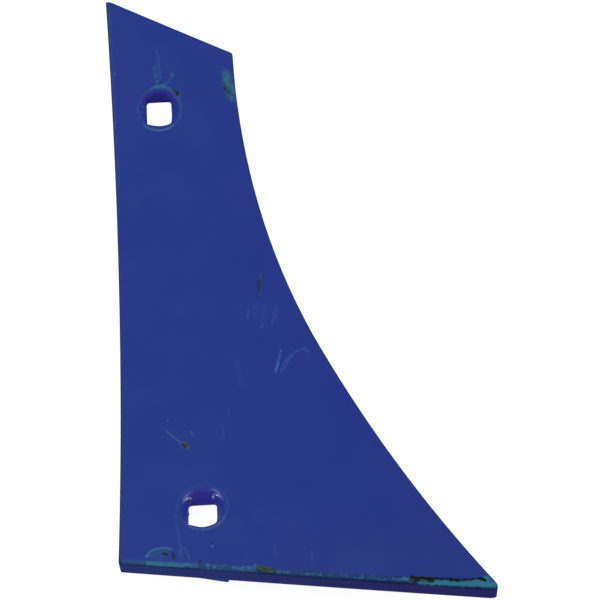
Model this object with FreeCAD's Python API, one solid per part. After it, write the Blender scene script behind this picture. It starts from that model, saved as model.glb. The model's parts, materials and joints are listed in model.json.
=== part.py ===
import FreeCAD, Part
import math
import os
from FreeCAD import Base, Vector

# Plough shin: one pressed steel plate, held to the front of a mouldboard by two plough bolts.
# All sizes are in millimetres and degrees.
# The plate starts as a flat blank, which a press bends round one large cylinder.
# On the blank, "across" runs from the straight landside edge towards the flared edge,
# and "along" runs up the landside edge from its bottom corner, the heel.
# Both are measured on the hollow face, the one that the soil runs over.

# Plate and bend
PLATE_THICKNESS = 8.0
BEND_RADIUS = 450.0

# Plough-bolt holes: a square for the neck under the bolt's head, in a tapered round seat for the head.
# The square is a little longer than it is wide, to let the plate be drawn up against its neighbour.
# Its punch sat slightly askew, turned clockwise on the hollow face, and landed off the middle of each seat.
BOLT_NECK = 12.0
NECK_CLEARANCE = 1.8
NECK_STRETCH = 1.1
NECK_CORNER_RADIUS = 1.8
NECK_TURN = 1.2
SEAT_RADIUS = 10.5
SEAT_HALF_ANGLE = 30.0
SEAT_LIP_RADIUS = 3.4
LOWER_HOLE_ACROSS = 39.8
LOWER_HOLE_ALONG = 27.0
LOWER_NECK_SHIFT_ACROSS = -0.6
LOWER_NECK_SHIFT_ALONG = -1.3
UPPER_HOLE_ACROSS = 25.9
HOLE_SPACING_ALONG = 230.6
UPPER_NECK_SHIFT_ACROSS = -0.6
UPPER_NECK_SHIFT_ALONG = -0.8
UPPER_HOLE_ALONG = LOWER_HOLE_ALONG + HOLE_SPACING_ALONG

# Outline of the blank. The tip stands a set length above the upper hole.
TIP_ABOVE_HOLE = 64.4
LANDSIDE_LENGTH = UPPER_HOLE_ALONG + TIP_ABOVE_HOLE
TOP_WIDTH = 68.3
TOP_FALL_ANGLE = 27.0
TIP_FLAT = 2.4
SHOULDER_LENGTH = 3.0
SWEEP_RADIUS = 435.0
SWEEP_ANGLE = 23.3
BOTTOM_WIDTH = 174.5
BOTTOM_FALL_ANGLE = 9.7
CORNER_SETBACK = 1.2
TOE_SETBACK = 6.3

# Rounded edges, and the shallow bevel along the bottom of the hollow face, which reaches further at the toe
EDGE_RADIUS = 0.6
HEEL_BEVEL_REACH = 2.4
TOE_BEVEL_REACH = 4.8
BEVEL_ANGLE = 5.0

# How far a cutting tool runs past the plate, the stations along the bevel,
# and how closely the back follows the hollow face when the plate is thickened
TOOL_OVERRUN = 3.0
BEVEL_STATIONS = 5
OFFSET_TOLERANCE = 0.0001


def tangent(angle):
    return math.tan(math.radians(angle))


def on_blank(point):
    """A point of the blank as the bend takes it: the angle round the bend and the distance along its axis."""
    across, along = point
    return Base.Vector2d(along / BEND_RADIUS, across)


def on_plate(point, depth):
    """A point of the bent plate, with the bend's axis on Z. Depth goes from the hollow face into the steel."""
    across, along = point
    angle = along / BEND_RADIUS
    radius = BEND_RADIUS + depth
    return Vector(radius * math.cos(angle), radius * math.sin(angle), across)


def bottom_edge(across):
    """The point of the bottom edge at this distance across."""
    return (across, -across * tangent(BOTTOM_FALL_ANGLE))


def top_edge(across):
    """The point of the top edge at this distance across."""
    return (across, LANDSIDE_LENGTH - across * tangent(TOP_FALL_ANGLE))


def towards(start, end, distance):
    """The point at this distance from start, on the way to end."""
    share = distance / math.dist(start, end)
    return (start[0] + (end[0] - start[0]) * share, start[1] + (end[1] - start[1]) * share)


def straight(start, end):
    return Part.Geom2d.Line2dSegment(on_blank(start), on_blank(end))


def parabola(start, middle, end):
    """A curve that leaves its start, and reaches its end, in line with the middle point."""
    curve = Part.Geom2d.BezierCurve2d()
    curve.setPoles([on_blank(start), on_blank(middle), on_blank(end)])
    return curve


def sweep(shoulder):
    """The arc that runs on from the shoulder and turns the edge outwards, and the point where it ends."""
    across, along = shoulder
    turn = math.radians(SWEEP_ANGLE)
    centre = across + SWEEP_RADIUS
    circle = Part.Geom2d.Ellipse2d(
        on_blank(shoulder),
        on_blank((centre, along - SWEEP_RADIUS)),
        on_blank((centre, along)),
    )
    end = (
        centre - SWEEP_RADIUS * math.cos(turn),
        along - SWEEP_RADIUS * math.sin(turn),
    )
    return Part.Geom2d.ArcOfEllipse2d(circle, 0, turn), end


def blank_outline():
    """The edge of the blank: up the landside, round the tip, down the flared side and back along the bottom."""
    heel = bottom_edge(0.0)
    toe = bottom_edge(BOTTOM_WIDTH)
    tip = top_edge(TIP_FLAT)
    landside_tip = (0.0, tip[1])
    top_corner = top_edge(TOP_WIDTH)
    shoulder = (TOP_WIDTH, top_corner[1] - SHOULDER_LENGTH)
    sweep_arc, sweep_end = sweep(shoulder)

    # The flare leaves the sweep in line with it, and bows gently on its way to the toe.
    turn = math.radians(SWEEP_ANGLE)
    half = math.dist(sweep_end, toe) / 2
    flare_middle = (
        sweep_end[0] + half * math.sin(turn),
        sweep_end[1] - half * math.cos(turn),
    )

    # Each worn corner starts this far from the sharp one, on both of its sides.
    heel_up = towards(heel, landside_tip, CORNER_SETBACK)
    heel_across = towards(heel, toe, CORNER_SETBACK)
    corner_left = towards(top_corner, tip, CORNER_SETBACK)
    corner_down = towards(top_corner, shoulder, CORNER_SETBACK)
    toe_up = towards(toe, flare_middle, TOE_SETBACK)
    toe_across = towards(toe, heel, TOE_SETBACK)

    return [
        straight(heel_up, landside_tip),
        straight(landside_tip, tip),
        straight(tip, corner_left),
        parabola(corner_left, top_corner, corner_down),
        straight(corner_down, shoulder),
        sweep_arc,
        parabola(sweep_end, flare_middle, toe_up),
        parabola(toe_up, toe, toe_across),
        straight(toe_across, heel_across),
        parabola(heel_across, heel, heel_up),
    ]


def bent_plate():
    """The blank laid on the bend and thickened, so that its cut edges stand square to it all the way round."""
    bend = Part.Cylinder()
    bend.Radius = BEND_RADIUS
    rim = Part.Wire([curve.toShape(bend) for curve in blank_outline()])
    hollow_face = Part.Face(bend, rim)
    thick = hollow_face.makeOffsetShape(PLATE_THICKNESS, OFFSET_TOLERANCE, fill=True)

    # The landside cut crosses the bend squarely, so it lies in one plane.
    landside = min(thick.Faces, key=lambda face: face.CenterOfMass.z)
    other_faces = [face for face in thick.Faces if not face.isSame(landside)]
    landside_plane = Part.Plane(Vector(), Vector(0, 0, -1))
    flat_landside = Part.Face(landside_plane, landside.OuterWire)
    return Part.makeSolid(Part.makeShell(other_faces + [flat_landside]))


def bent_face(solid, depth):
    """The face that lies on the bend at this depth: the hollow face at none, the round back at full thickness."""
    rounds = [face for face in solid.Faces if face.Surface.TypeId == "Part::GeomCylinder"]
    return min(rounds, key=lambda face: abs(face.Surface.Radius - BEND_RADIUS - depth))


def round_edges(solid):
    edges = bent_face(solid, 0.0).Edges + bent_face(solid, PLATE_THICKNESS).Edges
    return solid.makeFillet(EDGE_RADIUS, edges)


def bevel_tool():
    """A wedge along the bottom edge, whose flank leaves the bevel. It grows from the heel to the toe."""
    sections = []
    for station in range(BEVEL_STATIONS):
        share = station / (BEVEL_STATIONS - 1)
        run = BOTTOM_WIDTH + 2 * TOOL_OVERRUN
        across, along = bottom_edge(share * run - TOOL_OVERRUN)
        reach = HEEL_BEVEL_REACH + (TOE_BEVEL_REACH - HEEL_BEVEL_REACH) * share + TOOL_OVERRUN
        above = -TOOL_OVERRUN * tangent(BEVEL_ANGLE)
        corners = [
            on_plate((across, along + reach), above),
            on_plate((across, along - TOOL_OVERRUN), reach * tangent(BEVEL_ANGLE)),
            on_plate((across, along - TOOL_OVERRUN), above),
        ]
        sections.append(Part.makePolygon(corners + corners[:1]))
    return Part.makeLoft(sections, True, True)


def seat_tool():
    """The cone that opens the tapered seat for a bolt's head, drawn on the X axis."""
    start = BEND_RADIUS - TOOL_OVERRUN
    length = PLATE_THICKNESS + 2 * TOOL_OVERRUN
    widest = SEAT_RADIUS + TOOL_OVERRUN * tangent(SEAT_HALF_ANGLE)
    narrowest = widest - length * tangent(SEAT_HALF_ANGLE)
    return Part.makeCone(widest, narrowest, length, Vector(start, 0, 0), Vector(1, 0, 0))


def neck_tool(shift_across, shift_along):
    """The square punch for a bolt's neck, drawn beside the X axis by its two shifts and turned where it stands."""
    start = BEND_RADIUS - TOOL_OVERRUN
    depth = PLATE_THICKNESS + 2 * TOOL_OVERRUN
    width = BOLT_NECK + NECK_CLEARANCE
    length = width + NECK_STRETCH
    corner = Vector(start, shift_along - length / 2, shift_across - width / 2)
    punch = Part.makeBox(depth, length, width, corner)
    long_edges = [edge for edge in punch.Edges if edge.firstVertex().X != edge.lastVertex().X]
    punch = punch.makeFillet(NECK_CORNER_RADIUS, long_edges)
    punch.rotate(Vector(0, shift_along, shift_across), Vector(1, 0, 0), NECK_TURN)
    return punch


def at_hole(tool, across, along):
    """Swings a tool from the X axis round the bend to its hole."""
    tool.rotate(Vector(), Vector(0, 0, 1), math.degrees(along / BEND_RADIUS))
    tool.translate(Vector(0, 0, across))
    return tool


def make_holes(solid):
    """Opens both seats, rounds their lips, and then punches the square through each of them."""
    lower = (LOWER_HOLE_ACROSS, LOWER_HOLE_ALONG)
    upper = (UPPER_HOLE_ACROSS, UPPER_HOLE_ALONG)
    for place in (lower, upper):
        solid = solid.cut(at_hole(seat_tool(), *place))
    rims = [edge for edge in bent_face(solid, 0.0).Edges if edge.isClosed()]
    solid = solid.makeFillet(SEAT_LIP_RADIUS, rims)
    solid = solid.cut(at_hole(neck_tool(LOWER_NECK_SHIFT_ACROSS, LOWER_NECK_SHIFT_ALONG), *lower))
    return solid.cut(at_hole(neck_tool(UPPER_NECK_SHIFT_ACROSS, UPPER_NECK_SHIFT_ALONG), *upper))


def lay_down(solid):
    """Turns the plate on its round back, with its weight straight over the line that it rests on.

    X runs from the landside to the flare, Y from the bottom edge to the tip, and the hollow face looks up.
    """
    weight = solid.CenterOfMass
    solid.rotate(Vector(), Vector(0, 0, 1), -math.degrees(math.atan2(weight.y, weight.x)))
    upright = Base.Rotation(Vector(0, 0, -1), Vector(0, 1, 0), Vector(1, 0, 0), "XYZ")
    solid.Placement = Base.Placement(Vector(), upright).multiply(solid.Placement)
    box = solid.optimalBoundingBox(False)
    solid.translate(Vector(-box.Center.x, -box.Center.y, -box.ZMin))
    return solid


def shin_plate():
    solid = round_edges(bent_plate())
    solid = solid.cut(bevel_tool())
    solid = make_holes(solid)
    return lay_down(solid.Solids[0])


os.makedirs("parts", exist_ok=True)
plate = shin_plate()
plate.exportStep("parts/shin_plate.step")
print("shin_plate", plate.optimalBoundingBox(False), "volume", round(plate.Volume))
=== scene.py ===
# %% [markdown]
# # A painted plough shin
# A shin is the plate at the front of a plough's mouldboard that takes the wear. It is a flat
# blank of 8 mm steel, pressed into a shallow hollow, with two holes for plough bolts. A new one
# is painted all over and stacked with others, so its blue enamel has rubs, scratches and a
# chipped bottom edge before it is ever bolted on.
#
# The CAD model gives the exact form. This file loads it as a fixed frame, and dresses it.

# %% Load the frame
import json
import math

import bmesh
import bpy
from mathutils import Matrix, Vector, noise


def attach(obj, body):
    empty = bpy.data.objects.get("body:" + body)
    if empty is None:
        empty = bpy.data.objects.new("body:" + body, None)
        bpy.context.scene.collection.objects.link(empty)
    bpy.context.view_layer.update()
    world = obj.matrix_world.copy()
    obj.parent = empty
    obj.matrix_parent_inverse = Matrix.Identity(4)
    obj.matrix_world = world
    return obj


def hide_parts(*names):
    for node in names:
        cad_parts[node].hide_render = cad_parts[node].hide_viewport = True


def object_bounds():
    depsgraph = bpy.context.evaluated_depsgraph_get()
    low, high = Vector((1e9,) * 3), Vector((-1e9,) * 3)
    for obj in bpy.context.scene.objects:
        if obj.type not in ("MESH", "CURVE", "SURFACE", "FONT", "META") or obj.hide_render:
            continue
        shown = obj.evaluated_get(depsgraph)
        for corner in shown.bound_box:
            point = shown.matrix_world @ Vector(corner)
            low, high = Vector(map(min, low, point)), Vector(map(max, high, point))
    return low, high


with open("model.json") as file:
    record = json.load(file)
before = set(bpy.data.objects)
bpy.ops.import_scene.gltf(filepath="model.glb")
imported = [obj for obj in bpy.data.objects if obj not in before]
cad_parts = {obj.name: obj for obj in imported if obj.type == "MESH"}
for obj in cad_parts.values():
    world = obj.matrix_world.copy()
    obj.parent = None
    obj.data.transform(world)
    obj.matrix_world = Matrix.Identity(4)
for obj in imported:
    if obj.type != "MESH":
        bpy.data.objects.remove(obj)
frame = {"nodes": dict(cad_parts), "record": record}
cad_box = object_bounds()
cad_plate = frame["nodes"]["shin_plate"]
MM = 0.001
print("CAD box in mm:", [tuple(round(c / MM, 1) for c in corner) for corner in cad_box])

# %% [markdown]
# ## Find the bend
# The plate was bent round one cylinder, whose axis runs along X. Its place could be copied from
# the drawing, but a copied number goes stale when the drawing changes. So it is measured: the
# two bolt seats both point straight at the axis, and it is where their lines cross. The nearest
# vertices to it then lie on the hollow face, and the farthest on the back.

# %% Measure the bend
seats = {mount["name"]: mount for mount in frame["record"]["mounts"]}
lower_seat, upper_seat = seats["lower_bolt_seat"], seats["upper_bolt_seat"]


def crossing(first, second):
    """Where the lines of two seats cross, seen along X: its y and its z."""
    (y1, z1), (y2, z2) = first["pos_m"][1:], second["pos_m"][1:]
    (dy1, dz1), (dy2, dz2) = first["axis"][1:], second["axis"][1:]
    reach = ((y2 - y1) * dz2 - (z2 - z1) * dy2) / (dy1 * dz2 - dz1 * dy2)
    return y1 + dy1 * reach, z1 + dz1 * reach


axis_y, axis_z = crossing(lower_seat, upper_seat)
reaches = [math.hypot(v.co.y - axis_y, v.co.z - axis_z) for v in cad_plate.data.vertices]
bend_radius, plate_thickness = min(reaches), max(reaches) - min(reaches)
print(f"bend radius {bend_radius / MM:.2f} mm, plate {plate_thickness / MM:.2f} mm thick")

# %% [markdown]
# ## Unbend it
# A painter's marks are easiest to place on the flat blank, with a ruler: so far *across* from
# the straight landside edge, so far *along* it from the heel (its bottom corner), and so *deep*
# into the steel. These two functions go from the bent plate to the blank and back, in mm on
# the blank and metres on the plate.

# %% From the plate to the blank and back
HEEL_BELOW_SEAT = 27.0
seat_angle = math.atan2(lower_seat["pos_m"][1] - axis_y, axis_z - lower_seat["pos_m"][2])
heel_angle = seat_angle - HEEL_BELOW_SEAT * MM / bend_radius
landside_x = cad_box[0].x


def to_blank(point):
    """From a point of the bent plate, in metres, to the flat blank, in mm."""
    reach = math.hypot(point.y - axis_y, point.z - axis_z)
    angle = math.atan2(point.y - axis_y, axis_z - point.z) - heel_angle
    return Vector((point.x - landside_x, angle * bend_radius, reach - bend_radius)) / MM


def to_plate(point):
    """From a point of the flat blank, in mm, to the bent plate, in metres."""
    across, along, depth = point * MM
    angle = heel_angle + along / bend_radius
    reach = bend_radius + depth
    return Vector((
        landside_x + across,
        axis_y + reach * math.sin(angle),
        axis_z - reach * math.cos(angle),
    ))


SEATS = [to_blank(Vector(seat["pos_m"])) for seat in (lower_seat, upper_seat)]
print("the bolt seats on the blank:", [seat.to_tuple(1) for seat in SEATS])

# %% [markdown]
# ## A finer mesh
# The CAD mesh has long thin triangles, straight chords that would show as facets on such a
# glossy hollow, and too few points for dents. A subdivision modifier would round off the crisp
# edges. Instead the mesh is unbent, where every long edge is straight, sliced like graph paper,
# and bent again, so that each new point lands exactly on the bend. The slices are closest in the
# band along the bottom edge, which slopes down towards the toe.

# %% Slice the blank
PLATE_STEP = 4.0
EDGE_STEP = 1.5
BOTTOM_STEP = 0.8
EDGE_BAND = 7.0
DEPTH_CUTS = (1.5, 2.5, 4.0, 5.5, 6.5)
BOTTOM_SLOPE = math.radians(9.7)
BOTTOM_NORMAL = Vector((math.sin(BOTTOM_SLOPE), math.cos(BOTTOM_SLOPE), 0))
ACROSS, ALONG, DEEP = Vector((1, 0, 0)), Vector((0, 1, 0)), Vector((0, 0, 1))


def slice_across(mesh, normal, offsets, chosen=None):
    """Cuts the mesh by parallel planes, each at its offset from the heel along the normal."""
    for offset in offsets:
        faces = [f for f in mesh.faces if chosen is None or chosen(f.calc_center_median())]
        edges = {edge for face in faces for edge in face.edges}
        corners = {vertex for face in faces for vertex in face.verts}
        bmesh.ops.bisect_plane(
            mesh, geom=[*faces, *edges, *corners], dist=1e-5,
            plane_co=normal * offset, plane_no=normal,
        )


def near_bottom(point):
    """True for a point of the blank in the band that the soil wears first."""
    return point.dot(BOTTOM_NORMAL) < EDGE_BAND


def steps(first, last, step):
    """Offsets from the first one on, a step apart, up to the last."""
    return [first + step * i for i in range(int((last - first) / step) + 1)]


blank = bmesh.new()
blank.from_mesh(cad_plate.data)
bmesh.ops.remove_doubles(blank, verts=blank.verts, dist=1e-6)
for vertex in blank.verts:
    vertex.co = to_blank(vertex.co)
low = Vector([min(vertex.co[i] for vertex in blank.verts) for i in range(3)])
high = Vector([max(vertex.co[i] for vertex in blank.verts) for i in range(3)])
slice_across(blank, ACROSS, steps(low.x + PLATE_STEP, high.x, PLATE_STEP))
slice_across(blank, ALONG, steps(low.y + PLATE_STEP, high.y, PLATE_STEP))
slice_across(blank, BOTTOM_NORMAL, steps(BOTTOM_STEP, EDGE_BAND, BOTTOM_STEP), near_bottom)
slice_across(blank, ACROSS, steps(low.x + EDGE_STEP, high.x, EDGE_STEP), near_bottom)
slice_across(blank, DEEP, DEPTH_CUTS)
print(len(blank.verts), "vertices,", len(blank.faces), "faces")
print("the blank reaches from", low.to_tuple(1), "to", high.to_tuple(1))

# %% [markdown]
# ## The worn bottom edge
# Some wear can be felt with a finger, so it has to be in the mesh. Shearing has curled a burr
# over the back of the bottom edge. It grows from nothing and breaks off short, so two slices
# close together give it a clean end. The front of the edge is nibbled, which noise does well.
# All of it is easier now, while the blank is still flat. Each vertex first notes its flat place
# in an attribute called *blank*, so the paint below can be laid out with the same ruler.

# %% Burr and nibbled edge
BURR_START, BURR_END, BURR_BREAK = 38.0, 50.3, 50.8
BURR_HEIGHT, BURR_BAND = 1.3, 0.7
BURR_DEPTH, BURR_SPAN = 6.0, 2.0
NIBBLE_LENGTH, NIBBLE_BITE = 2.4, 0.45
NIBBLE_BAND, NIBBLE_DEPTH = 0.9, 1.2
slice_across(blank, ACROSS, (BURR_END, BURR_BREAK), near_bottom)
flat_place = blank.verts.layers.float_vector.new("blank")
for vertex in blank.verts:
    vertex[flat_place] = vertex.co


def worn(place):
    """Where a point goes once the burr has grown on the back and the front is nibbled."""
    across, above, depth = place.x, place.dot(BOTTOM_NORMAL), place.z
    if BURR_START < across < (BURR_END + BURR_BREAK) / 2 and above < BURR_BAND and depth > BURR_DEPTH:
        growth = min(1, (across - BURR_START) / (BURR_END - BURR_START)) ** 0.8
        place = place - BOTTOM_NORMAL * BURR_HEIGHT * growth * (depth - BURR_DEPTH) / BURR_SPAN
    if above < NIBBLE_BAND and depth < NIBBLE_DEPTH:
        bite = max(0, noise.noise(Vector((across / NIBBLE_LENGTH, 3, 0)))) * NIBBLE_BITE
        place = place + (BOTTOM_NORMAL * 0.5 + DEEP) * bite
    return place


for vertex in blank.verts:
    vertex.co = worn(vertex.co)
print(f"burr {BURR_END - BURR_START:.1f} mm long and {BURR_HEIGHT} mm high")

# %% [markdown]
# ## Dents and beads of paint
# The coat has sunk along the crack by the toe, inside the crescent above the heel and at the
# patch of rust. Each is a soft push into the mesh. Where the plate was dipped, paint has run into
# beads on the walls of the seats. They are flattened balls, half sunk in the wall.

# %% Crack, dents and beads
CRACK = [
    (134.5, 3.5), (142.5, 3.4), (148, 3.8), (156, 3.8),
    (160.5, 4.3), (164.2, 5.2), (166, 5.6), (167.2, 4.7),
]


def over_bottom(across, above):
    """The point of the ruler this far across, and this far above the bottom edge."""
    return (across, above / math.cos(BOTTOM_SLOPE) - across * math.tan(BOTTOM_SLOPE))


def dent(mesh, place, reach, sink):
    """Sinks the points around a place of the ruler. The dent fades away smoothly at the reach."""
    centre = Vector(place).to_3d()
    for vertex in mesh.verts:
        share = 1 - (vertex.co - centre).length / reach
        if share > 0:
            vertex.co.z += sink * share * share * (3 - 2 * share)


def bead(mesh, centre, facing, radius, height):
    """Adds a flat drop of paint, half sunk in the wall that it hangs on."""
    turned = Vector(facing).to_track_quat("Z", "Y")
    matrix = Matrix.LocRotScale(Vector(centre), turned, Vector((radius, radius, height)))
    drop = bmesh.ops.create_uvsphere(mesh, u_segments=24, v_segments=16, radius=1, matrix=matrix)
    for vertex in drop["verts"]:
        vertex[flat_place] = vertex.co


for across, above in CRACK:
    dent(blank, over_bottom(across, above - 0.6), reach=3.0, sink=0.3)
dent(blank, (19.5, 4.4), reach=4.5, sink=0.25)
dent(blank, over_bottom(66.5, 2.5), reach=3.2, sink=0.35)
for centre, facing, radius, height in (
    ((33.6, 33.8, 2.5), (0.56, -0.53, -0.64), 1.5, 0.5),
    ((33.0, 34.9, 1.6), (0.56, -0.53, -0.64), 0.9, 0.35),
    ((45.1, 34.0, 3.0), (-0.51, -0.55, -0.66), 1.8, 0.55),
    ((31.9, 27.2, 4.6), (0.9, -0.1, -0.4), 1.4, 0.9),
    ((16.9, 259.8, 1.4), (0.7, -0.3, -0.7), 1.3, 0.5),
    ((16.5, 257.0, 1.6), (0.7, -0.1, -0.7), 1.1, 0.5),
):
    bead(blank, centre, facing, radius, height)
print(len(blank.verts), "vertices with the wear")

# %% [markdown]
# ## Bend it again
# Every vertex goes back to the bend. Only corners sharper than the threshold stay hard, and the
# weighted normals keep the wide flat faces from being pulled round by their narrow neighbours.

# %% The painted plate
SHARP_ANGLE = math.radians(32)


def bent_again(blank, name):
    """Bends the blank, and makes an object of this name from it."""
    for vertex in blank.verts:
        vertex.co = to_plate(vertex.co)
    for face in blank.faces:
        face.smooth = True
    mesh = bpy.data.meshes.new(name)
    blank.to_mesh(mesh)
    blank.free()
    mesh.set_sharp_from_angle(angle=SHARP_ANGLE)
    piece = bpy.data.objects.new(name, mesh)
    bpy.context.scene.collection.objects.link(piece)
    return piece


plate = bent_again(blank, "painted_plate")
weighted = plate.modifiers.new("even_normals", "WEIGHTED_NORMAL")
weighted.keep_sharp = True
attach(plate, "root")
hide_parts("shin_plate")
print("the painted plate has", len(plate.data.polygons), "faces")

# %% [markdown]
# ## Tools for the material
# A material is a tree of nodes, and a big one is easier to write than to draw. These few
# functions each add one node and hand back its output, so that a line of them reads like a sum.
# *Ramp* is the one used most: a smooth step from one value to another. *Grain* gives blotches of
# a size in mm, because it reads the flat ruler and not the bent plate.

# %% A palette of nodes
paint = bpy.data.materials.new("blue_enamel")
paint.use_nodes = True
tree = paint.node_tree
shader = tree.nodes["Principled BSDF"]


def plug(socket, value):
    """Links an output to a socket, or sets the socket to a plain value."""
    if isinstance(value, bpy.types.NodeSocket):
        socket.id_data.links.new(value, socket)
    else:
        socket.default_value = value


def maths(operation, *values, where=tree):
    node = where.nodes.new("ShaderNodeMath")
    node.operation = operation
    for socket, value in zip(node.inputs, values):
        plug(socket, value)
    return node.outputs["Value"]


def vectors(operation, *values, where=tree, scale=None):
    node = where.nodes.new("ShaderNodeVectorMath")
    node.operation = operation
    for socket, value in zip(node.inputs, values):
        plug(socket, value)
    if scale is not None:
        plug(node.inputs["Scale"], scale)
    return node.outputs["Value" if operation in ("DOT_PRODUCT", "LENGTH") else "Vector"]


def ramp(value, start, end, low=0.0, high=1.0, where=tree):
    """Low up to start, high from end on, and smooth between. An end below the start turns it round."""
    node = where.nodes.new("ShaderNodeMapRange")
    node.interpolation_type = "SMOOTHSTEP"
    names = ("Value", "From Min", "From Max", "To Min", "To Max")
    for name, number in zip(names, (value, start, end, low, high)):
        plug(node.inputs[name], number)
    return node.outputs["Result"]


def grain(size, detail=2.0, shift=0.0, stretch=(1, 1, 1)):
    """Soft noise around 0.5, with blotches of this size in mm. The stretch draws them out."""
    node = tree.nodes.new("ShaderNodeTexNoise")
    node.inputs["Scale"].default_value = 1 / size
    node.inputs["Detail"].default_value = detail
    place = vectors("ADD", ruler, (shift, shift, 0))
    plug(node.inputs["Vector"], vectors("MULTIPLY", place, stretch))
    return node.outputs["Fac"]


def patches(size, start, end, detail=3, shift=0.0, stretch=(1, 1, 1)):
    """A mask of patches of this size in mm, the fewer the higher start and end are."""
    return ramp(grain(size, detail, shift, stretch), start, end)


def overlap(mask, *others):
    """The mask that shows only where all of these do."""
    for other in others:
        mask = maths("MULTIPLY", mask, other)
    return mask


def blend(amount, below, above):
    """Mixes two colours: only below at 0, only above at 1."""
    node = tree.nodes.new("ShaderNodeMix")
    node.data_type = "RGBA"
    plug(node.inputs["Factor"], amount)
    plug(node.inputs[6], below)
    plug(node.inputs[7], above)
    return node.outputs[2]


ruler_node = tree.nodes.new("ShaderNodeAttribute")
ruler_node.attribute_name = "blank"
ruler = ruler_node.outputs["Vector"]
ruler_parts = tree.nodes.new("ShaderNodeSeparateXYZ")
plug(ruler_parts.inputs[0], ruler)
across, along, depth = ruler_parts.outputs
above_bottom = vectors("DOT_PRODUCT", ruler, BOTTOM_NORMAL)
print("the ruler gives", [socket.name for socket in (across, along, depth)])

# %% [markdown]
# ## The enamel
# Thick gloss enamel, brushed or dipped, is never one even blue. It is a touch greener towards
# the heel, where light gets through a thin coat, and more violet towards the flare. Very soft,
# very large noise gives that drift. The blue is also painted darker towards the bottom edge,
# most in the low corner by the toe: that is painted shade.

# %% Enamel over the whole plate
ENAMEL_GREENER = (0.027, 0.088, 0.585, 1)
ENAMEL_VIOLET = (0.034, 0.068, 0.58, 1)
ENAMEL_PAINTED_SHADE = (0.027, 0.070, 0.50, 1)
drift = maths("ADD", ramp(across, 20, 110, 0.0, 0.5), ramp(along, -20, 260, 0.0, 0.35))
mottle = maths("MULTIPLY_ADD", grain(38, 3), 0.6, -0.3)
toward_violet = maths("ADD", drift, mottle)
# Painted shade: a dimmer blue towards the bottom edge, strongest by the toe.
painted_low_shade = overlap(ramp(along, 150, -10), ramp(across, 10, 140, 0.35, 1.0), 0.8)
coat = {
    "colour": blend(painted_low_shade, blend(toward_violet, ENAMEL_GREENER, ENAMEL_VIOLET), ENAMEL_PAINTED_SHADE),
    "roughness": ramp(grain(24, 3, shift=90), 0.3, 0.7, 0.30, 0.38),
    "height": 0.0,
}
print("the coat so far:", sorted(coat))

# %% [markdown]
# ## Layers over the enamel
# A real finish is built in layers: enamel, then the rubs that polish it, the scratches that cut
# it and the spots where rust comes through. The material is built the same way. *Coat* holds the
# colour, the roughness and the height so far, and each layer is laid over it through a mask,
# white where the layer shows. The cut faces get their own blue, lighter by the heel and violet
# towards the toe, a painted tint for the light in their shade, with darker streaks of uneven
# paint. A dark band, dull as well, is painted along the rounded front edges, and darker paint
# covers the end of the toe, the back edge and the whole back: painted shade.

# %% The cut edges
CUT_EDGE_HEEL = (0.048, 0.115, 0.70, 1)
CUT_EDGE_TOE = (0.062, 0.045, 0.54, 1)
THIN_PAINT_AND_EDGE_SHADE = (0.012, 0.045, 0.17, 1)
LIP_RADIUS = 12.5


def lay(mask, colour, strength=1.0, roughness=None, lift=0.0):
    """Lays one more layer over the coat. Lift is how far it stands above the paint, in mm."""
    share = maths("MULTIPLY", mask, strength)
    coat["colour"] = blend(share, coat["colour"], colour)
    if roughness is not None:
        rise = maths("SUBTRACT", roughness, coat["roughness"])
        coat["roughness"] = maths("MULTIPLY_ADD", rise, share, coat["roughness"])
    if lift:
        coat["height"] = maths("MULTIPLY_ADD", mask, lift, coat["height"])


def distance_from(centre):
    """How far each point is from the middle of a seat, measured on the face."""
    return vectors("LENGTH", vectors("MULTIPLY", vectors("SUBTRACT", ruler, centre), (1, 1, 0)))


from_seat = maths("MINIMUM", *[distance_from(centre) for centre in SEATS])
outside_seats = ramp(from_seat, LIP_RADIUS + 0.5, LIP_RADIUS + 2.0)
in_steel = overlap(ramp(depth, 0.35, 0.8), outside_seats)
# Painted shade tint: the cut faces' own blue stands for the light that reaches them in shade.
cut_tone = blend(ramp(across, 10, 165), CUT_EDGE_HEEL, CUT_EDGE_TOE)
streaks = overlap(in_steel, patches(2.2, 0.45, 0.7, shift=40, stretch=(0.1, 0.1, 1)))
# Painted shade: the back edge and the whole back are darkened.
back_edge_shade = overlap(ramp(depth, 7.2, 7.8), outside_seats)
# Painted shade: a dark band along the rounded front edges, also made dull.
shoulder = overlap(ramp(depth, 0.005, 0.06), ramp(depth, 0.85, 0.5), outside_seats)
# Painted shade on the end face of the toe.
toe_end_shade = overlap(ramp(across, 171.3, 172.0), ramp(depth, 0.1, 0.5))
lay(in_steel, cut_tone, roughness=0.42)
lay(streaks, THIN_PAINT_AND_EDGE_SHADE, 0.4)
lay(back_edge_shade, THIN_PAINT_AND_EDGE_SHADE, 0.5)
lay(shoulder, THIN_PAINT_AND_EDGE_SHADE, 0.85, roughness=0.75)
lay(toe_end_shade, THIN_PAINT_AND_EDGE_SHADE, 0.75)
print("the cut edges and their thin shoulders are on")

# %% [markdown]
# ## Paint in the seats
# The tapered seats were dipped with the rest. The coat is thick on their walls, glossy in the
# lower seat and duller in the upper one. Their blue is painted lighter than the face, painted
# light that lifts the shade of the recess, and the wall towards the tip, which lies in shade, is
# painted more violet, a painted shade tint. A pale ring, broken by patches, is a painted
# highlight round each lip.

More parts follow.
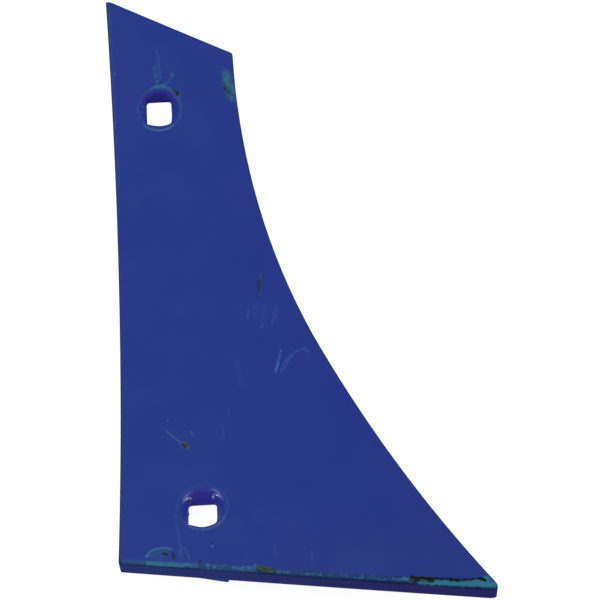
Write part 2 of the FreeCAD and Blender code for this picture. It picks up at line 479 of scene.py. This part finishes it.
# %% The seats
SEAT_BLUE_LIFTED = (0.042, 0.105, 0.66, 1)
SEAT_SHADE_VIOLET = (0.078, 0.075, 0.64, 1)
RING_PAINTED_HIGHLIGHT = (0.05, 0.17, 0.58, 1)
in_seat = overlap(ramp(from_seat, LIP_RADIUS + 0.3, LIP_RADIUS - 0.3), ramp(depth, 0.02, 0.3))
lower_wall, upper_wall = [ramp(maths("SUBTRACT", along, centre.y), 1.0, 7.0) for centre in SEATS]
tip_wall = maths("MAXIMUM", upper_wall, overlap(lower_wall, ramp(along, 60, 50)))
inside_lip = ramp(from_seat, LIP_RADIUS - 0.9, LIP_RADIUS - 0.3)
ring = overlap(inside_lip, ramp(from_seat, LIP_RADIUS + 0.7, LIP_RADIUS + 0.1))
# Painted light: the seats are painted lighter than the face, against the shade of the recess.
lay(in_seat, SEAT_BLUE_LIFTED, 0.9, roughness=ramp(along, 60, 200, 0.15, 0.70))
# Painted shade tint on the wall towards the tip.
lay(overlap(in_seat, tip_wall), SEAT_SHADE_VIOLET, 0.85)
# Painted highlight: a pale ring round each lip.
lay(overlap(ring, patches(6, 0.35, 0.6, detail=2, shift=21)), RING_PAINTED_HIGHLIGHT, 0.6)
print("the paint in", len(SEATS), "seats is on")

# %% [markdown]
# ## A brush for marks
# Nearly every mark is a short stroke: a scratch, a scuff, a smear. One node group draws a stroke
# between two points of the ruler as the distance to that line, roughened by noise so that no
# two are the same. A group keeps the tree short, and one change in it reaches every mark.

# %% The stroke brush
def stroke_brush():
    """The node group: white on the line from start to start + run, and black a width away."""
    group = bpy.data.node_groups.new("stroke", "ShaderNodeTree")
    kinds = {"Ruler": "Vector", "Start": "Vector", "Run": "Vector", "Width": "Float", "Ragged": "Float"}
    for name, kind in kinds.items():
        group.interface.new_socket(name, in_out="INPUT", socket_type="NodeSocket" + kind)
    group.interface.new_socket("Mask", in_out="OUTPUT", socket_type="NodeSocketFloat")
    given = group.nodes.new("NodeGroupInput").outputs
    offset = vectors("SUBTRACT", given["Ruler"], given["Start"], where=group)
    reach = vectors("DOT_PRODUCT", offset, given["Run"], where=group)
    whole = vectors("DOT_PRODUCT", given["Run"], given["Run"], where=group)
    share = maths("MAXIMUM", maths("DIVIDE", reach, whole, where=group), 0.0, where=group)
    share = maths("MINIMUM", share, 1.0, where=group)
    nearest = vectors("SCALE", given["Run"], where=group, scale=share)
    distance = vectors("LENGTH", vectors("SUBTRACT", offset, nearest, where=group), where=group)
    roughened = maths("ADD", distance, given["Ragged"], where=group)
    closeness = maths("DIVIDE", roughened, given["Width"], where=group)
    plug(group.nodes.new("NodeGroupOutput").inputs["Mask"], ramp(closeness, 1.0, 0.2, where=group))
    return group


brush = stroke_brush()
print("the brush has", len(brush.nodes), "nodes")

# %% [markdown]
# ## Strokes and marks
# *Strokes* joins several lines into one mask, and *mark* lays them over the coat in one colour.
# The width is from the middle of a stroke to its rim, in mm. Three kinds of wobble roughen the
# rims: fine for scratches, broad for rubs, and a third for cracks, with more detail.

# %% Strokes and marks
fine_wobble = maths("SUBTRACT", grain(1.1, 2, shift=7), 0.5)
broad_wobble = maths("SUBTRACT", grain(3.2, 3, shift=31), 0.5)
crack_wobble = maths("SUBTRACT", grain(2.0, 4, shift=58), 0.5)


def strokes(*lines, width=0.6, ragged=0.6, wobble=fine_wobble):
    """One mask for several lines, each a run of (across, along) points."""
    mask = None
    rough = maths("MULTIPLY", wobble, 2 * ragged * width)
    for line in lines:
        for start, end in zip(line, line[1:]):
            node = tree.nodes.new("ShaderNodeGroup")
            node.node_tree = brush
            plug(node.inputs["Ruler"], ruler)
            plug(node.inputs["Start"], Vector(start).to_3d())
            plug(node.inputs["Run"], (Vector(end) - Vector(start)).to_3d())
            plug(node.inputs["Width"], width)
            plug(node.inputs["Ragged"], rough)
            mask = node.outputs["Mask"] if mask is None else maths("MAXIMUM", mask, node.outputs["Mask"])
    return mask


def mark(colour, strength, *lines, roughness=None, lift=0.0, **shape):
    """Lays strokes of one colour over the coat. The shape is their width, ragged and wobble."""
    lay(strokes(*lines, **shape), colour, strength, roughness, lift)


def bottom_line(*points):
    """A line through points given as (across, above the bottom edge)."""
    return [over_bottom(*point) for point in points]


print(f"the bottom edge drops {-over_bottom(high.x, 0)[1]:.1f} mm from the heel to the toe")

# %% [markdown]
# ## The rubbed bottom edge
# The bevel along the bottom touches whatever the plate is stacked on. The blue has worn to a
# teal primer there, nearly whole by the heel, broken into dashes in the middle and whole again
# at the toe. A broken rub is a whole one seen through two sizes of patches.

# %% Rubs along the bottom
TEAL_RUB_AND_HIGHLIGHT = (0.050, 0.34, 0.58, 1)
TOE_TEAL = (0.034, 0.37, 0.60, 1)
DULL_TEAL = (0.035, 0.17, 0.45, 1)
PALE_SCUFF_AND_HIGHLIGHT = (0.075, 0.27, 0.80, 1)
breaks = overlap(patches(2.4, 0.46, 0.62, shift=12), patches(0.9, 0.40, 0.62, shift=29))

# By the heel, a dull band with a whole teal rub on it.
mark(DULL_TEAL, 0.7, bottom_line((2.5, 1.4), (36, 1.8)), width=1.9, ragged=0.5, roughness=0.5)
heel_rub = strokes(bottom_line((14, 1.3), (33, 1.7)), width=1.6, ragged=0.45, wobble=broad_wobble)
lay(overlap(heel_rub, patches(3.5, 0.25, 0.5, shift=5)), TEAL_RUB_AND_HIGHLIGHT, 0.9, roughness=0.5)

# Then a broken rub, with pale chips on it.
broken_rub = strokes(bottom_line((35, 1.7), (63, 1.9)), width=2.2, ragged=0.6)
lay(broken_rub, DULL_TEAL, 0.45, roughness=0.48)
lay(overlap(broken_rub, breaks), TEAL_RUB_AND_HIGHLIGHT, 0.7, roughness=0.5)
mark(
    PALE_SCUFF_AND_HIGHLIGHT, 0.8,
    bottom_line((53.0, 2.0), (54.2, 2.0)), bottom_line((56.0, 1.6), (56.5, 1.7)),
    bottom_line((57.6, 2.0), (58.2, 2.6)), bottom_line((59.6, 3.2), (60.6, 2.4)),
    bottom_line((41.5, 2.6), (42.2, 2.4)), bottom_line((44.2, 1.8), (45.0, 1.8)),
    width=0.9, ragged=0.9, roughness=0.5,
)

# Pale dashes along the middle.
dashes = strokes(bottom_line((73, 1.6), (134, 2.0)), width=1.8, ragged=0.5)
lay(dashes, DULL_TEAL, 0.4, roughness=0.5)
lay(overlap(dashes, breaks), PALE_SCUFF_AND_HIGHLIGHT, 0.9, roughness=0.5)

# A whole rub at the toe, which runs up beside the end of the crack.
mark(
    TOE_TEAL, 0.9,
    bottom_line((138, 1.0), (150, 1.6), (160, 2.2), (171.5, 2.6)),
    bottom_line((163, 3.2), (168, 5.2)),
    width=2.5, ragged=0.4, wobble=broad_wobble, roughness=0.48,
)
mark(TEAL_RUB_AND_HIGHLIGHT, 0.8, bottom_line((131, 2.4), (133.5, 2.2)), width=1.5, ragged=0.6, roughness=0.5)
print("rubs along the bottom edge")

# %% [markdown]
# ## The crack by the toe
# Along the crease at the toe the coat has cracked, and dark scale shows. It is the same line that
# was dented into the mesh above, now drawn with black, with blots where flakes are gone and
# rust under its inner end. Below it, the paint on the rim of the bevel has worn thin in places.

# %% Cracked paint
OLIVE_RUST = (0.11, 0.17, 0.09, 1)
BARE_DARK = (0.008, 0.022, 0.018, 1)
bare_rim = overlap(ramp(above_bottom, 0.75, 0.25), ramp(depth, 1.6, 1.0), ramp(across, 40, 140))
lay(overlap(bare_rim, patches(1.8, 0.34, 0.52, shift=91)), THIN_PAINT_AND_EDGE_SHADE, 0.85, roughness=0.7)
under_crack = strokes(bottom_line((134, 2.4), (143, 2.7)), width=2.3, ragged=0.7, wobble=broad_wobble)
lay(overlap(under_crack, patches(2.2, 0.34, 0.5, shift=44)), OLIVE_RUST, 0.85, roughness=0.72)
lay(overlap(under_crack, patches(2.4, 0.46, 0.58, shift=71)), BARE_DARK, 0.85, roughness=0.75)
mark(
    BARE_DARK, 0.97, bottom_line(*CRACK),
    width=0.95, ragged=0.9, wobble=crack_wobble, roughness=0.75, lift=-0.12,
)
mark(
    BARE_DARK, 0.9,
    bottom_line((134.5, 3.9), (137.5, 2.6)), bottom_line((140.5, 3.4), (143.5, 2.4)),
    bottom_line((152, 3.4), (154.5, 3.2)), bottom_line((165.6, 5.2), (167.0, 4.4)),
    width=1.15, ragged=0.9, wobble=crack_wobble, roughness=0.75,
)
print("the crack has", len(CRACK), "points")

# %% [markdown]
# ## The patch of rust
# A knock has dented one spot of the bottom edge and taken its paint off. The spot has rusted to
# olive, with black and yellow-green grains in it. Rust swells, so it fills a little of the dent.

# %% Rust, burr and chip along the bottom
YELLOW_GREEN = (0.20, 0.30, 0.07, 1)
rust_patch = strokes(
    bottom_line((63.8, 4.2), (65, 1.8), (72, 1.9)),
    bottom_line((64.5, 3.8), (72, 1.9)),
    bottom_line((65, 3.0), (69, 2.6)),
    width=1.2, ragged=0.45,
)
lay(rust_patch, OLIVE_RUST, 0.9, roughness=0.75, lift=0.04)
lay(overlap(rust_patch, patches(1.0, 0.50, 0.60, shift=33)), BARE_DARK, 0.75, roughness=0.75)
lay(overlap(rust_patch, patches(1.4, 0.55, 0.66, detail=2, shift=83)), YELLOW_GREEN, 0.8, roughness=0.7)
mark(PALE_SCUFF_AND_HIGHLIGHT, 0.8, bottom_line((63.2, 4.4), (62.8, 2.2)), width=0.6, roughness=0.5)

# The burr on the back edge is rubbed to a dull teal.
burr = overlap(ramp(above_bottom, 0.9, 0.3), ramp(across, 41, 47), ramp(across, 51.2, 50.6))
lay(overlap(burr, ramp(depth, 6.2, 7.2)), DULL_TEAL, 0.7, roughness=0.6)

# A black chip.
mark(BARE_DARK, 0.8, bottom_line((37.9, 4.6), (37.8, 2.6)), width=0.7, ragged=0.4, roughness=0.7)
print("rust patch, burr and black chip")

# %% [markdown]
# ## Knocks around the heel
# A second plate's corner has pressed a small crescent into the coat just above the heel, and
# two specks of rust have started inside it. A fainter one sits beside it.

# %% The crescent and its rust
GREEN_DARK = (0.018, 0.10, 0.13, 1)
BROWN_RUST = (0.055, 0.07, 0.12, 1)
crescent = [(13.1, 3.0), (14.6, 5.0), (17.0, 6.3), (20.1, 6.7), (23.2, 6.2), (24.8, 5.4)]
mark(DULL_TEAL, 0.55, [(15, 3.4), (18, 4.6), (22, 4.8)], width=2.3, ragged=0.5, roughness=0.45)
mark(TEAL_RUB_AND_HIGHLIGHT, 0.8, crescent, width=0.8, ragged=0.5, roughness=0.5, lift=0.03)
mark(PALE_SCUFF_AND_HIGHLIGHT, 0.8, [(13.0, 2.6), (13.8, 3.0)], width=0.9, roughness=0.5)
mark(
    GREEN_DARK, 0.8, [(20.6, 3.6), (22.4, 3.0)],
    width=1.6, ragged=0.9, wobble=broad_wobble, roughness=0.7,
)
mark(BARE_DARK, 0.55, [(21.0, 3.5), (22.2, 3.0)], width=1.0, ragged=0.8, roughness=0.7)
mark(BROWN_RUST, 0.9, [(25.3, 2.9), (25.9, 1.0)], width=1.3, ragged=0.9, roughness=0.75)

# The fainter crescent, and a short scuff beside it.
faint = [(28.2, 2.0), (28.4, 4.6), (30.0, 6.1), (31.6, 4.8), (31.4, 2.6)]
mark(PALE_SCUFF_AND_HIGHLIGHT, 0.35, faint, width=0.6, ragged=0.6, roughness=0.45)
mark(PALE_SCUFF_AND_HIGHLIGHT, 0.6, [(32.6, 1.4), (32.8, -0.2)], width=0.6, roughness=0.5)

# A dark spot with a pale one below it, and a faint smear that comes down past the lower seat.
mark(BARE_DARK, 0.75, [(43.2, 7.6), (43.5, 7.0)], width=0.9, ragged=0.4, roughness=0.6)
mark(PALE_SCUFF_AND_HIGHLIGHT, 0.8, [(43.6, 5.8), (43.9, 5.3)], width=0.8, ragged=0.4, roughness=0.5)
mark(PALE_SCUFF_AND_HIGHLIGHT, 0.2, [(26.6, 24.0), (28.0, 12.0)], [(28.4, 10.0), (29.5, 0.5)], width=1.1, ragged=0.9)
print("knocks around the heel")

# %% [markdown]
# ## Scratches on the face
# Sliding in and out of a stack leaves short scratches, light where the gloss is cut and dark
# where they reach the scale. They are few, so each is placed one by one with the ruler.

# %% Scratches near the swept edge
SCRATCH_BLUE = (0.055, 0.20, 0.86, 1)

# A straight scratch, widest at its foot, and beside it two that curve.
mark(
    SCRATCH_BLUE, 0.8,
    [(83.0, 113.1), (81.6, 108.0)], [(82.2, 110.0), (80.2, 103.5), (79.2, 100.4)],
    width=0.75, ragged=0.6, roughness=0.45,
)
mark(PALE_SCUFF_AND_HIGHLIGHT, 0.75, [(81.0, 106.0), (79.6, 101.2)], width=1.1, ragged=0.7, roughness=0.45)
curved = [(95.2, 112.8), (92.6, 112.4), (90.1, 111.4), (86.4, 107.0), (83.7, 101.2)]
beside = [(x - 1.9, y - 0.9) for x, y in curved[2:]]
mark(SCRATCH_BLUE, 0.75, curved, beside, width=0.5, ragged=0.7, roughness=0.5)
mark(SCRATCH_BLUE, 0.35, [(95.0, 112.5), (97.0, 111.0)], width=1.6, ragged=0.8)

# The deepest one: a dark nick that reaches the scale, with a rusty rim.
mark(
    OLIVE_RUST, 0.4, [(75.2, 157.0), (74.6, 152.0), (73.6, 146.0)],
    width=1.0, ragged=0.9, wobble=broad_wobble, roughness=0.55,
)
mark(
    BARE_DARK, 0.7, [(74.4, 154.6), (73.9, 151.0)], [(73.9, 151.5), (73.5, 148.0)],
    width=1.2, ragged=1.0, wobble=crack_wobble, roughness=0.65,
)
mark(BARE_DARK, 0.5, [(73.0, 147.0), (72.5, 143.6)], width=0.7, ragged=0.9, roughness=0.6)

# Light scratches and faint smears below the nick.
mark(
    SCRATCH_BLUE, 0.55, [(81.8, 139.2), (79.4, 129.0)], [(83.2, 137.6), (81.6, 131.5)],
    width=0.6, ragged=0.7,
)
mark(
    SCRATCH_BLUE, 0.4, [(74.2, 128.4), (73.7, 126.8)], [(67.4, 137.0), (67.0, 133.5)],
    width=1.2, ragged=0.8,
)
mark(
    SCRATCH_BLUE, 0.13,
    [(71.5, 141.0), (70.5, 133.0)], [(76.0, 139.0), (75.0, 131.0)], [(60.0, 106.9), (61.6, 93.5)],
    width=2.2, ragged=0.9,
)
print("scratches near the swept edge")

# %% [markdown]
# ## Scratches between the seats
# The one above the lower seat has a light tail and a rusty head, where the corner that made it
# dug in and stopped. The rest are short and faint.

# %% Scratches between the seats
mark(PALE_SCUFF_AND_HIGHLIGHT, 0.7, [(23.2, 71.0), (28.1, 66.1), (31.5, 63.0)], width=0.55, ragged=0.7)
mark(
    OLIVE_RUST, 0.45, [(22.8, 72.0), (26.5, 68.0)], [(28.6, 65.2), (31.0, 63.0)],
    width=0.8, ragged=1.0, wobble=crack_wobble, roughness=0.6,
)
mark(
    OLIVE_RUST, 0.85, [(30.4, 63.6), (33.4, 61.2)], [(31.0, 62.4), (32.0, 63.6)],
    width=1.5, ragged=1.0, wobble=crack_wobble, roughness=0.7,
)
mark(
    BARE_DARK, 0.75, [(30.8, 63.2), (32.2, 61.8)],
    width=0.9, ragged=1.0, wobble=crack_wobble, roughness=0.7,
)
mark(
    PALE_SCUFF_AND_HIGHLIGHT, 0.55, [(34.8, 70.2), (36.4, 68.0)], [(23.5, 77.8), (23.9, 77.0)],
    width=0.7, ragged=0.7,
)
mark(
    SCRATCH_BLUE, 0.25, [(51.3, 70.6), (51.0, 66.0)], [(54.5, 80.0), (54.0, 78.0)],
    width=1.2, ragged=0.8,
)

# One scratch runs up from the upper seat, and two faint ones stand above the bottom edge.
mark(PALE_SCUFF_AND_HIGHLIGHT, 0.35, [(26.7, 292.0), (27.6, 275.5)], width=0.9, ragged=0.8)
mark(
    PALE_SCUFF_AND_HIGHLIGHT, 0.18, [(90.0, -1.0), (89.6, -7.0)], [(73.0, 2.5), (72.8, -2.0)],
    width=0.9, ragged=0.6,
)
print("scratches between the seats")

# %% [markdown]
# ## Around the upper bolt seat
# The upper seat has had a bolt dropped into it. The rim is rubbed to teal at the top, with a
# smear running up from it and a small spot of rust. The light that the lower half of the lip
# catches is painted on as a paler line along a row of points on a circle, teal at its left end:
# a painted highlight. The pale teal strokes on the left wall of the seat are painted highlights too.

# %% Rubs by the upper seat
RIM_GREEN = (0.045, 0.36, 0.40, 1)
LIP_PAINTED_HIGHLIGHT = (0.22, 0.40, 0.80, 1)
mark(
    TEAL_RUB_AND_HIGHLIGHT, 0.5,
    [(21.6, 269.4), (24.3, 270.8), (27.1, 271.2), (29.8, 270.6), (32.4, 269.2), (34.6, 267.6)],
    width=1.1, ragged=0.5, roughness=0.45,
)
mark(RIM_GREEN, 0.7, [(24.6, 270.6), (29.2, 270.8)], width=1.3, ragged=0.8, roughness=0.45)
smear = strokes(
    [(29.6, 271.4), (31.8, 273.4)], [(32.6, 274.6), (34.4, 276.8)], [(25.0, 282.0), (25.6, 274.0)],
    width=1.9, ragged=0.9, wobble=broad_wobble,
)
lay(overlap(smear, patches(1.8, 0.36, 0.58, shift=26)), TEAL_RUB_AND_HIGHLIGHT, 0.5, roughness=0.45)


def on_lip(centre, turn):
    """The point of a seat's lip at this many degrees, counted from the swept side."""
    reach, angle = LIP_RADIUS - 0.4, math.radians(turn)
    return (centre.x + reach * math.cos(angle), centre.y + reach * math.sin(angle))


lip = [on_lip(SEATS[1], turn) for turn in range(222, 332, 12)]
# Painted highlight along the lower half of the lip, teal at its left end.
mark(LIP_PAINTED_HIGHLIGHT, 0.55, lip[1:-2], width=0.7, ragged=0.5, roughness=0.35)
mark(RIM_GREEN, 0.35, lip[:4], width=1.0, ragged=0.5)
# Painted highlight on the left wall of the seat.
mark(
    TEAL_RUB_AND_HIGHLIGHT, 0.5, [(17.4, 261.0), (16.8, 257.6), (16.6, 254.6)],
    width=1.6, ragged=0.9, roughness=0.3,
)

# The spot of rust on the rim, black in the middle, with a pale speck at its end that is a painted
# highlight.
mark(
    GREEN_DARK, 0.8, [(34.0, 268.4), (35.4, 267.4), (37.2, 264.6)],
    width=1.6, ragged=0.8, wobble=crack_wobble, roughness=0.7,
)
mark(OLIVE_RUST, 0.6, [(35.4, 267.2), (36.8, 265.0)], width=1.2, ragged=0.8, roughness=0.7)
mark(BARE_DARK, 0.85, [(35.8, 267.0), (36.7, 265.3)], width=0.95, ragged=0.8, roughness=0.7)
# Painted highlight: the pale speck at the end of the rust.
mark(PALE_SCUFF_AND_HIGHLIGHT, 0.8, [(37.4, 264.8), (37.7, 264.0)], width=0.6, roughness=0.4)
print("rubs by the upper seat")

# %% [markdown]
# ## The scuff by the swept edge
# Beside the upper seat the edge has rubbed against something, and a larger scuff shows every
# layer at once: a dull halo, teal blotches inside it, and dark green where nearly nothing is left.

# %% The scuff by the swept edge
scuff_line = [(64.0, 275.0), (64.6, 271.0), (65.8, 266.5), (67.8, 261.5)]
blotches = patches(3.0, 0.36, 0.60, detail=5, shift=63, stretch=(1.3, 0.7, 1))
halo = strokes(scuff_line, width=5.6, ragged=0.5, wobble=broad_wobble)
edge_scuff = strokes(scuff_line, width=3.6, ragged=0.8, wobble=broad_wobble)
specks = patches(1.6, 0.50, 0.62, detail=4, shift=18)
lay(overlap(halo, blotches), DULL_TEAL, 0.6, roughness=0.48)
lay(edge_scuff, DULL_TEAL, 0.75, roughness=0.48)
lay(overlap(edge_scuff, blotches), TEAL_RUB_AND_HIGHLIGHT, 0.75, roughness=0.5)
lay(overlap(edge_scuff, specks), GREEN_DARK, 0.7, roughness=0.6)
mark(
    RIM_GREEN, 0.6, [(63.6, 272.5), (64.6, 268.0)],
    width=2.2, ragged=0.8, wobble=broad_wobble, roughness=0.5,
)
mark(GREEN_DARK, 0.8, [(62.9, 268.4), (64.4, 264.4)], width=1.8, ragged=0.8, roughness=0.6)
mark(BARE_DARK, 0.75, [(62.5, 267.2), (63.0, 266.3)], width=0.9, ragged=0.5, roughness=0.7)

# A small scuff by the landside edge.
mark(PALE_SCUFF_AND_HIGHLIGHT, 0.6, [(2.5, 280.6), (2.9, 279.4)], width=0.8, ragged=0.6)
print("the scuff by the swept edge")

# %% [markdown]
# ## Finish the coat
# Gloss enamel shows a fine orange peel where light grazes it. Bump is right for that, because it
# is a hundredth of a millimetre deep. The same height carries the crack, the rust and the rim of
# the crescent. Where the coat is rough it is also dull, so it mirrors less.

# %% Orange peel and the shader
ORANGE_PEEL = 0.010
coat["height"] = maths("MULTIPLY_ADD", grain(2.6, 2, shift=55), ORANGE_PEEL, coat["height"])
coat["height"] = maths("MULTIPLY_ADD", grain(14, 2, shift=77), 4 * ORANGE_PEEL, coat["height"])
bump = tree.nodes.new("ShaderNodeBump")
bump.inputs["Distance"].default_value = MM
bump.inputs["Strength"].default_value = 1.0
plug(bump.inputs["Height"], coat["height"])
plug(shader.inputs["Base Color"], coat["colour"])
plug(shader.inputs["Roughness"], coat["roughness"])
plug(shader.inputs["Normal"], bump.outputs["Normal"])
plug(shader.inputs["Specular IOR Level"], ramp(coat["roughness"], 0.5, 0.72, 0.5, 0.04))
shader.inputs["IOR"].default_value = 1.5
plate.data.materials.clear()
plate.data.materials.append(paint)
print(len(tree.nodes), "nodes in the enamel")

# %% [markdown]
# ## A white floor
# The plate lies on plain white, so bright that its own shadow is only a breath of grey. The floor
# glows a little, which lifts it to white without more lamps. It is kept out of the paint's
# reflections, or the cut edges would pick up a white sheen that a real bench doesn't give.

# %% The floor
FLOOR_HALF = 6.0
FLOOR_DROP = 0.0002
FLOOR_GREY = 0.4
FLOOR_GLOW = 0.94
corners = [(x * FLOOR_HALF, y * FLOOR_HALF, -FLOOR_DROP) for x, y in ((-1, -1), (1, -1), (1, 1), (-1, 1))]
floor_mesh = bpy.data.meshes.new("floor")
floor_mesh.from_pydata(corners, [], [(0, 1, 2, 3)])
floor = bpy.data.objects.new("floor", floor_mesh)
bpy.context.scene.collection.objects.link(floor)
floor.visible_diffuse = False
floor.visible_glossy = False
white = bpy.data.materials.new("white_floor")
white.use_nodes = True
white_shader = white.node_tree.nodes["Principled BSDF"]
white_shader.inputs["Base Color"].default_value = (FLOOR_GREY, FLOOR_GREY, FLOOR_GREY, 1)
white_shader.inputs["Roughness"].default_value = 0.9
white_shader.inputs["Specular IOR Level"].default_value = 0
white_shader.inputs["Emission Color"].default_value = (1, 1, 1, 1)
white_shader.inputs["Emission Strength"].default_value = FLOOR_GLOW
floor_mesh.materials.append(white)
print("floor", 2 * FLOOR_HALF, "m wide")

# %% [markdown]
# ## Soft light
# A hollow glossy face is a mirror for whatever stands above it. An even, dim room keeps its sheen
# even, and two long soft boxes at the sides, which the face can't mirror towards the camera, give
# the light. Three low lamps only add gloss: they draw the thin bright lines on the lips of the
# seats and the glints on the beads, and leave the blue of the face as it is.

# %% The room and the lamps
ROOM_LIGHT = 0.135
room = bpy.data.worlds.new("soft_room")
room.use_nodes = True
room.node_tree.nodes["Background"].inputs["Color"].default_value = (1, 1, 1, 1)
room.node_tree.nodes["Background"].inputs["Strength"].default_value = ROOM_LIGHT
bpy.context.scene.world = room


def soft_box(name, place, width, length, watts):
    """A lamp like a sheet of white cloth, which faces the middle of the plate."""
    lamp = bpy.data.lights.new(name, "AREA")
    lamp.shape = "RECTANGLE"
    lamp.size, lamp.size_y = width, length
    lamp.energy = watts
    box = bpy.data.objects.new(name, lamp)
    box.location = place
    box.rotation_euler = (-Vector(place)).to_track_quat("-Z", "Y").to_euler()
    bpy.context.scene.collection.objects.link(box)
    return box


soft_box("left_box", (-1.4, 0.0, 1.4), 0.7, 1.8, watts=9)
soft_box("right_box", (1.4, 0.0, 1.4), 0.7, 1.8, watts=9)
gloss_lamps = (
    soft_box("tip_strip", (-0.3, 1.8, 0.75), 1.6, 0.2, watts=6),
    soft_box("left_glint", (-1.6, -0.6, 0.56), 0.45, 0.35, watts=7),
    soft_box("right_glint", (1.6, -0.6, 0.56), 0.45, 0.35, watts=7),
)
for lamp in gloss_lamps:
    lamp.visible_diffuse = False
print("room light", ROOM_LIGHT, "and", len(gloss_lamps), "lamps for gloss alone")

# %% [markdown]
# ## The camera
# The camera looks down on the plate from the heel end, close enough that the tip looks smaller.
# Its place and its lens were solved from the plate's outline in the photograph.

# %% The camera
CAMERA_PLACE = (-0.00909, -0.33572, 0.62086)
CAMERA_TILT = (28.5391, 0.6886, -4.3228)
CAMERA_LENS = 79.58
SENSOR = 36
camera_data = bpy.data.cameras.new("camera")
camera_data.lens = CAMERA_LENS
camera_data.sensor_width = SENSOR
camera = bpy.data.objects.new("camera", camera_data)
camera.location = CAMERA_PLACE
camera.rotation_euler = [math.radians(angle) for angle in CAMERA_TILT]
bpy.context.scene.collection.objects.link(camera)
bpy.context.scene.camera = camera
bpy.context.scene.view_settings.view_transform = "Standard"
print("camera", round(Vector(CAMERA_PLACE).length, 3), "m from the middle of the plate")
